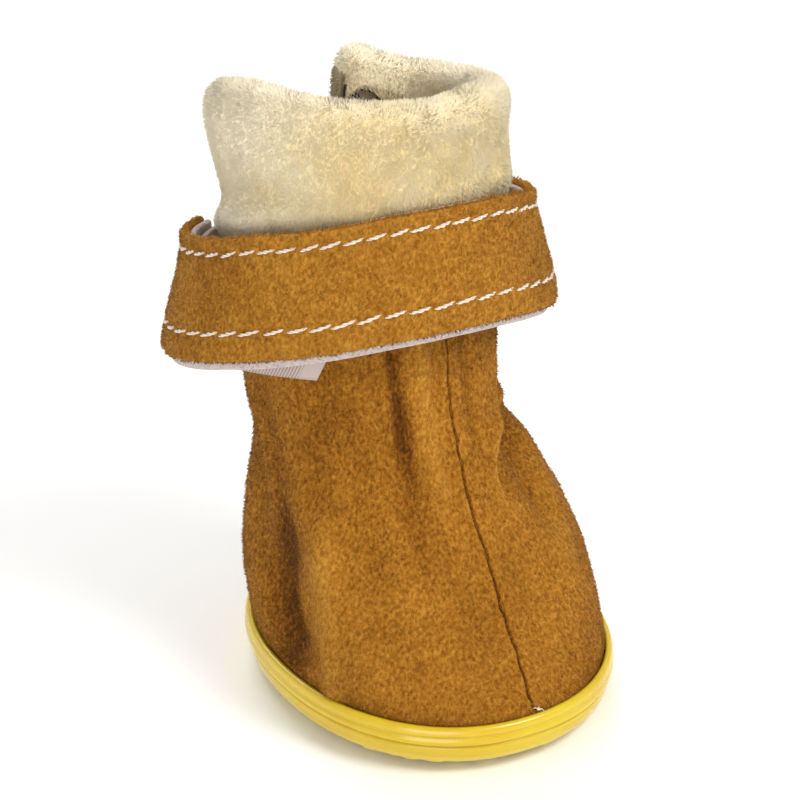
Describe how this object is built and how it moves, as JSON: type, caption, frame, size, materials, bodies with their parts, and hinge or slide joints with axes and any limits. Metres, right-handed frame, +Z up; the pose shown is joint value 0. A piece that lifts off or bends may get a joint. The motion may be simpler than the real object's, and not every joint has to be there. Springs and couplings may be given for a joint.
{
  "type": "dog boot",
  "caption": "Small suede dog boot with plush cuff, wrap strap, gingham back gusset and nubbed moulded sole.",
  "frame": {"origin": "on the floor under the middle of the sole, on the flat foot of the tread's central nub", "axes": "+Z up, the toe points to -Y, +X is the boot's left side"},
  "size_m": [0.0481, 0.0571, 0.0796],
  "materials": {
    "vinyl": "glossy, slightly see-through moulded vinyl",
    "fleece": "short fleece",
    "suede": "napped suede",
    "gingham": "checked plain weave",
    "plush": "short plush pile",
    "loop_cloth": "brushed loop cloth",
    "hook_cloth": "ribbed tape with fine hooks"
  },
  "bodies": {
    "root": {"outsole": "vinyl", "insole": "fleece", "upper": "suede", "gusset": "gingham", "cuff": "plush", "strap": "suede", "strap_lining": "loop_cloth", "hook_tape": "hook_cloth"}
  },
  "joints": []
}
